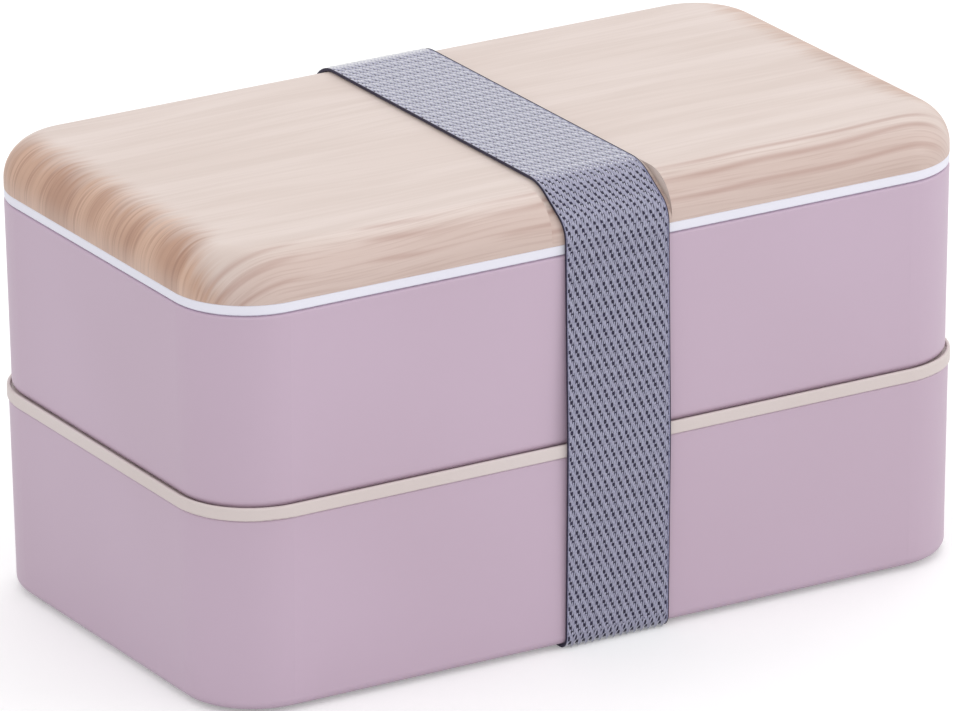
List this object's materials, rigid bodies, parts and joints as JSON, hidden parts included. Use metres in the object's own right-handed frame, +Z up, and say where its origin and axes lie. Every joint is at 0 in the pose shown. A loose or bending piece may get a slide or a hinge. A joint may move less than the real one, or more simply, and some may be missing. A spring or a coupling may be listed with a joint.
{
  "type": "two-tier bento lunch box",
  "caption": "Rectangular lunch box of stacked food boxes with rounded corners, a sealing lid between the tiers, a wood-print top lid, loose dividers and an elastic band round the middle.",
  "frame": {"origin": "on the table under the middle of the box, at the underside of the elastic band", "axes": "+X along the length of the box, -Y out of the front, +Z up"},
  "size_m": [0.186, 0.1071, 0.1014],
  "materials": {
    "mauve_plastic": "satin",
    "wood_print": "satin wood-grain print",
    "white_plastic": "satin",
    "cream_plastic": "satin",
    "silicone": "matte",
    "elastic": "twill weave"
  },
  "bodies": {
    "lower_box": {"lower_box": "mauve_plastic"},
    "lower_divider": {"lower_divider": "mauve_plastic"},
    "middle_lid": {"middle_lid": "cream_plastic", "middle_gasket": "silicone"},
    "upper_box": {"upper_box": "mauve_plastic"},
    "upper_divider": {"upper_divider": "mauve_plastic"},
    "lid": {"lid_base": "white_plastic", "lid_gasket": "silicone", "lid_cover": "wood_print"},
    "band": {"elastic_band": "elastic"}
  },
  "joints": [
    {"name": "band_slide", "type": "slide", "parent": "lower_box", "child": "band", "axis": [1, 0, 0], "range_m": [0, 0.125]},
    {"name": "lid_lift", "type": "slide", "parent": "upper_box", "child": "lid", "axis": [0, 0, 1], "range_m": [0, 0.05], "deforming": ["elastic_band"]},
    {"name": "upper_box_lift", "type": "slide", "parent": "middle_lid", "child": "upper_box", "axis": [0, 0, 1], "range_m": [0, 0.05]},
    {"name": "middle_lid_lift", "type": "slide", "parent": "lower_box", "child": "middle_lid", "axis": [0, 0, 1], "range_m": [0, 0.05]},
    {"name": "upper_divider_slide", "type": "slide", "parent": "upper_box", "child": "upper_divider", "axis": [1, 0, 0], "range_m": [-0.045, 0.08]},
    {"name": "lower_divider_slide", "type": "slide", "parent": "lower_box", "child": "lower_divider", "axis": [1, 0, 0], "range_m": [-0.085, 0.04]}
  ],
  "couplings": [
    {"joint": "upper_box_lift", "follows": "lid_lift", "ratio": 1},
    {"joint": "middle_lid_lift", "follows": "lid_lift", "ratio": 1}
  ]
}
